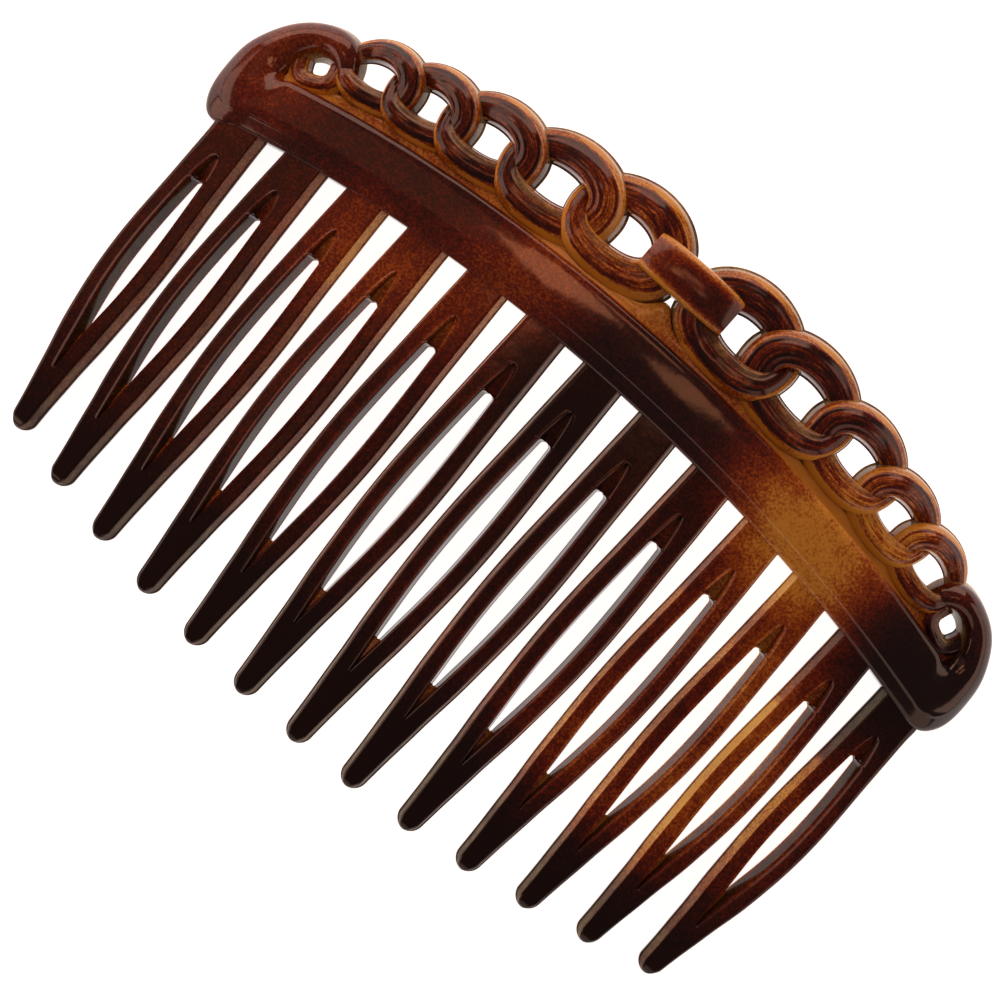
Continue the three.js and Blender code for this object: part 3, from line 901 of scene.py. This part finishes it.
def cloud_group():
    """Tortoiseshell: clouds of clear amber in dense brown with wandering edges, mottled and speckled."""
    name = "tortoiseshell"
    if name in bpy.data.node_groups:
        return bpy.data.node_groups[name]
    group, inlet, outlet = new_group(
        name,
        [("Lighter", "NodeSocketFloat", 0.0)],
        [("Color", "NodeSocketColor"), ("Grain", "NodeSocketFloat")],
    )
    place = group.nodes.new("ShaderNodeTexCoord").outputs["Object"]
    wander = noise(group, place, 110, 3, output="Color")
    shift = group.nodes.new("ShaderNodeVectorMath")
    shift.operation = "MULTIPLY_ADD"
    plug(shift, {0: wander, 1: (WANDER, WANDER, 0), 2: place})
    total = LEVEL
    for centre, half, lighter in CLOUDS:
        x, y = centre[0] * MM + WANDER / 2, centre[1] * MM + bar_origin().y + WANDER / 2
        scale = (1 / (half[0] * MM), 1 / (half[1] * MM), 0)
        around = group.nodes.new("ShaderNodeMapping")
        around.vector_type = "POINT"
        middle = (-x * scale[0], -y * scale[1], 0)
        plug(around, {"Vector": shift.outputs[0], "Location": middle, "Scale": scale})
        reach = group.nodes.new("ShaderNodeVectorMath")
        reach.operation = "LENGTH"
        plug(reach, {0: around.outputs["Vector"]})
        cloud = remap(group, reach.outputs["Value"], *CLOUD_REACH, 0, lighter)
        total = maths(group, "ADD", total, cloud)
    mottle = noise(group, place, 420, 4, 0.65)
    total = maths(group, "ADD", total, remap(group, mottle, 0.3, 0.7, -MOTTLE, MOTTLE))
    grain = noise(group, place, 3000, 2, 0.7)
    total = maths(group, "ADD", total, remap(group, grain, 0.3, 0.7, -SPECKLE, SPECKLE))
    # The input lifts the shade up the ramp: painted light through the thin plastic, and the links' streaks.
    total = maths(group, "ADD", total, inlet.outputs["Lighter"])
    shades = group.nodes.new("ShaderNodeValToRGB")
    paint = finish()
    stops = [paint.dark, paint.chestnut, paint.red_brown, paint.amber, paint.thin_light]
    ramp = shades.color_ramp
    ramp.interpolation = "LINEAR"
    while len(ramp.elements) < len(stops):
        ramp.elements.new(0.5)
    for number, (element, shade) in enumerate(zip(ramp.elements, stops)):
        element.position = number / (len(stops) - 1)
        element.color = (*shade, 1)
    plug(shades, {"Fac": total})
    plug(outlet, {"Color": shades.outputs["Color"], "Grain": grain})
    return group


# How strongly each piece shows the painted light on its pale drafted edges and the painted light through the
# thin plastic of its grooves, and how much denser it gets towards the tooth tips; then the streaks that run
# round the links, and the polish.
FINISHES = {
    "bar_shell": {"rim_light": 0.6, "groove": 0.6, "tip": 0, "streak": 0, "roughness": 0.1, "shine": 0.42},
    "tooth_shell": {"rim_light": 0.16, "groove": 0.4, "tip": 0.1, "streak": 0, "roughness": 0.13, "shine": 0.28},
    "chain_shell": {"rim_light": 0.62, "groove": 0.62, "tip": 0, "streak": 0.34, "roughness": 0.17, "shine": 0.36},
}
SAWN_ROUGHNESS = 0.5           # roughness of the sawn walls of the teeth
THROUGH_LIGHT = 0.45           # how brightly light comes through those walls
SHELL_IOR = 1.49
STREAKS_ACROSS = 11            # streaks of a link: how many lie across its band, and how soon they change
STREAKS_ALONG = 1.3            # along it
BUMP_STRENGTH = 0.12
BUMP_DISTANCE = 0.2 * MM


def attribute(tree, name):
    """One of a mesh's fields. A mesh without it reads 0."""
    node = tree.nodes.new("ShaderNodeAttribute")
    node.attribute_name = name
    return node.outputs["Fac"]


def shell_material(name):
    """Polished tortoiseshell plastic: cloud_group's colours, lighter in the grooves with painted light
    through the thin plastic, paler on the drafted walls with painted light, denser towards the tooth tips and
    streaked round the links. The sawn walls are rougher and give off painted light as if it came through
    them, and the polish has a faint ripple."""
    if name in bpy.data.materials:
        return bpy.data.materials[name]
    look, paint = FINISHES[name], finish()
    material = bpy.data.materials.new(name)
    material.use_nodes = True
    tree = material.node_tree
    shader = tree.nodes["Principled BSDF"]
    place = tree.nodes.new("ShaderNodeTexCoord").outputs["Object"]
    shell = tree.nodes.new("ShaderNodeGroup")
    shell.node_tree = cloud_group()
    # Painted light through the thin plastic lifts the shell up its ramp of shades.
    lighter = maths(tree, "MULTIPLY", attribute(tree, "thin_light"), look["groove"])
    tip = remap(tree, attribute(tree, "edge"), 0.55, 0.85, 0, look["tip"])
    lighter = maths(tree, "SUBTRACT", lighter, tip)
    flow = tree.nodes.new("ShaderNodeCombineXYZ")
    across = maths(tree, "MULTIPLY", attribute(tree, "across"), STREAKS_ACROSS)
    plug(flow, {"X": across, "Y": maths(tree, "MULTIPLY", attribute(tree, "along"), STREAKS_ALONG)})
    streak = noise(tree, flow.outputs["Vector"], 1, 3, 0.6)
    streak = remap(tree, streak, 0.35, 0.68, -look["streak"] / 2, look["streak"])
    plug(shell, {"Lighter": maths(tree, "ADD", lighter, streak)})
    # Painted light: the drafted walls are mixed towards the pale rim colour.
    rim_light = maths(tree, "MULTIPLY", attribute(tree, "rim_light"), look["rim_light"])
    rim_light = maths(tree, "MULTIPLY", rim_light, remap(tree, shell.outputs["Grain"], 0.25, 0.7, 0.5, 1.0))
    blotches = noise(tree, place, 330, 4, 0.65)
    rim_light = maths(tree, "MULTIPLY", rim_light, remap(tree, blotches, 0.36, 0.62, 0.25, 1.0))
    shade = mix(tree, rim_light, shell.outputs["Color"], (*paint.rim_light, 1))
    glow = attribute(tree, "glow")
    bump = tree.nodes.new("ShaderNodeBump")
    plug(bump, {"Strength": BUMP_STRENGTH, "Distance": BUMP_DISTANCE, "Height": noise(tree, place, 420, 2)})
    plug(shader, {
        "Base Color": shade,
        "Emission Color": mix(tree, glow, (0, 0, 0, 1), shade),
        "Emission Strength": THROUGH_LIGHT,
        "Roughness": remap(tree, glow, 0.0, 0.3, look["roughness"], SAWN_ROUGHNESS),
        "IOR": SHELL_IOR,
        "Specular IOR Level": look["shine"],
        "Normal": bump.outputs["Normal"],
    })
    return material


# ---- stage ----


FLOOR_HALF = 1.5               # half the side of the square floor, in metres
FLOOR_GLOW = 0.9               # the floor's own light, which keeps it white
WORLD_LIGHT = 0.1


def floor_material():
    """Matt white that gives its own light, with a slow drift in its shade."""
    material = bpy.data.materials.new("floor_white")
    material.use_nodes = True
    tree = material.node_tree
    shader = tree.nodes["Principled BSDF"]
    place = tree.nodes.new("ShaderNodeTexCoord").outputs["Object"]
    shade = remap(tree, noise(tree, place, 3, 2), 0.3, 0.7, 0.0, 1.0)
    plug(shader, {
        "Base Color": mix(tree, shade, (0.93, 0.93, 0.93, 1), (0.95, 0.95, 0.95, 1)),
        "Roughness": 0.9,
        "Specular IOR Level": 0.1,
        "Emission Color": (1, 1, 1, 1),
        "Emission Strength": FLOOR_GLOW,
    })
    return material


# Soft light panels: name, place in metres from the comb, width, height, brightness and tint. The low ones
# stand round the floor, and the small warm ones above are seen in the bar's polish.
SOFT = (1, 0.6, 0.46)
WARM = (1, 0.36, 0.17)
PANELS = [
    ("wall_top", (-0.6, 0.7, 0.32), 1.7, 0.55, 3.2, SOFT),
    ("wall_left", (-0.9, -0.5, 0.3), 1.2, 0.5, 2.6, SOFT),
    ("wall_right", (0.9, 0.35, 0.3), 1.2, 0.5, 2.0, SOFT),
    ("wall_bottom", (0.5, -0.85, 0.26), 1.4, 0.45, 1.2, SOFT),
    ("window_left", (-0.174, 0.132, 0.75), 0.19, 0.15, 4.5, WARM),
    ("window_right", (0.081, 0.122, 0.75), 0.1, 0.15, 3.0, WARM),
    ("window_top", (-0.035, 0.29, 0.72), 0.17, 0.12, 3.0, WARM),
    ("window_far_left", (-0.505, 0.045, 0.66), 0.36, 0.5, 0.4, WARM),
]


def panel(name, place, width, height, radiance, tint):
    """A one-sided rectangle of even brightness that faces the comb."""
    data = bpy.data.lights.new(name, "AREA")
    data.shape = "RECTANGLE"
    data.size, data.size_y = width, height
    data.energy = radiance * math.pi * width * height
    data.color = tint
    light = add_object(name, data)
    light.location = place
    light.rotation_mode = "QUATERNION"
    light.rotation_quaternion = (-place).to_track_quat("-Z", "Y")


ROLL = math.radians(41.5)      # the comb runs down to the right in the view
VIEW = Vector((0.035, -0.03, 1))       # from the comb to the camera
AIM = Vector((0.00055, -0.0011, 0.0155))
SCALE_DROP = 0.0055            # how far under the aim the view's width is measured
LENS_MM = 500.0
SENSOR_MM = 36.0
VIEW_WIDTH = 0.1098            # width of the view at the comb


class COMB_OT_stage(bpy.types.Operator):
    """Build the pale floor, the soft lights and the camera."""

    bl_idname = "comb.stage"
    bl_label = "Stage"

    def execute(self, context):
        scene = context.scene
        corners = [(x * FLOOR_HALF, y * FLOOR_HALF, 0) for x, y in ((-1, -1), (1, -1), (1, 1), (-1, 1))]
        mesh = bpy.data.meshes.new("floor")
        mesh.from_pydata(corners, [], [(0, 1, 2, 3)])
        mesh.materials.append(floor_material())
        floor = add_object("floor", mesh)
        for name, place, width, height, radiance, tint in PANELS:
            panel(name, Vector(place), width, height, radiance, tint)
        world = bpy.data.worlds.new("studio")
        world.use_nodes = True
        plug(world.node_tree.nodes["Background"], {"Color": (1, 1, 1, 1), "Strength": WORLD_LIGHT})
        scene.world = world
        camera_data = bpy.data.cameras.new("camera")
        camera_data.lens = LENS_MM
        camera_data.sensor_width = SENSOR_MM
        camera_data.clip_start, camera_data.clip_end = 0.01, 10
        camera = add_object("camera", camera_data)
        up = Vector((-math.sin(ROLL), math.cos(ROLL), 0))
        towards = VIEW.normalized()
        side = up.cross(towards).normalized()
        above = towards.cross(side)
        camera.matrix_world = Matrix((side, above, towards)).transposed().to_4x4()
        camera.location = AIM + towards * (VIEW_WIDTH * LENS_MM / SENSOR_MM - SCALE_DROP)
        scene.camera = camera
        scene.view_settings.view_transform = "Standard"
        return {"FINISHED"}


class COMB_PT_panel(bpy.types.Panel):
    """Lists the comb's pieces and its settings."""

    bl_idname = "COMB_PT_panel"
    bl_label = "Side comb"
    bl_space_type = "VIEW_3D"
    bl_region_type = "UI"
    bl_category = "Side comb"

    def draw(self, context):
        for operator in PIECES:
            self.layout.operator(operator.bl_idname)
        for group in (context.scene.comb_sizes, context.scene.comb_finish):
            for name in group.__annotations__:
                self.layout.prop(group, name)


PIECES = [
    COMB_OT_spine,
    COMB_OT_ledge,
    COMB_OT_teeth,
    COMB_OT_links,
    COMB_OT_scroll_links,
    COMB_OT_middle_link,
    COMB_OT_stage,
]
CLASSES = [COMB_PG_sizes, COMB_PG_finish, *PIECES, COMB_PT_panel]


def register():
    """Adds the comb's operators, panel and settings."""
    for cls in CLASSES:
        bpy.utils.register_class(cls)
    bpy.types.Scene.comb_sizes = PointerProperty(type=COMB_PG_sizes)
    bpy.types.Scene.comb_finish = PointerProperty(type=COMB_PG_finish)


def unregister():
    """Takes them out again."""
    del bpy.types.Scene.comb_finish
    del bpy.types.Scene.comb_sizes
    for cls in reversed(CLASSES):
        bpy.utils.unregister_class(cls)


def main():
    """Builds the comb piece by piece."""
    register()
    bpy.ops.comb.spine()
    bpy.ops.comb.ledge()
    bpy.ops.comb.teeth()
    bpy.ops.comb.links()
    bpy.ops.comb.scroll_links()
    bpy.ops.comb.middle_link()
    bpy.ops.comb.stage()


if __name__ == "__main__":
    main()
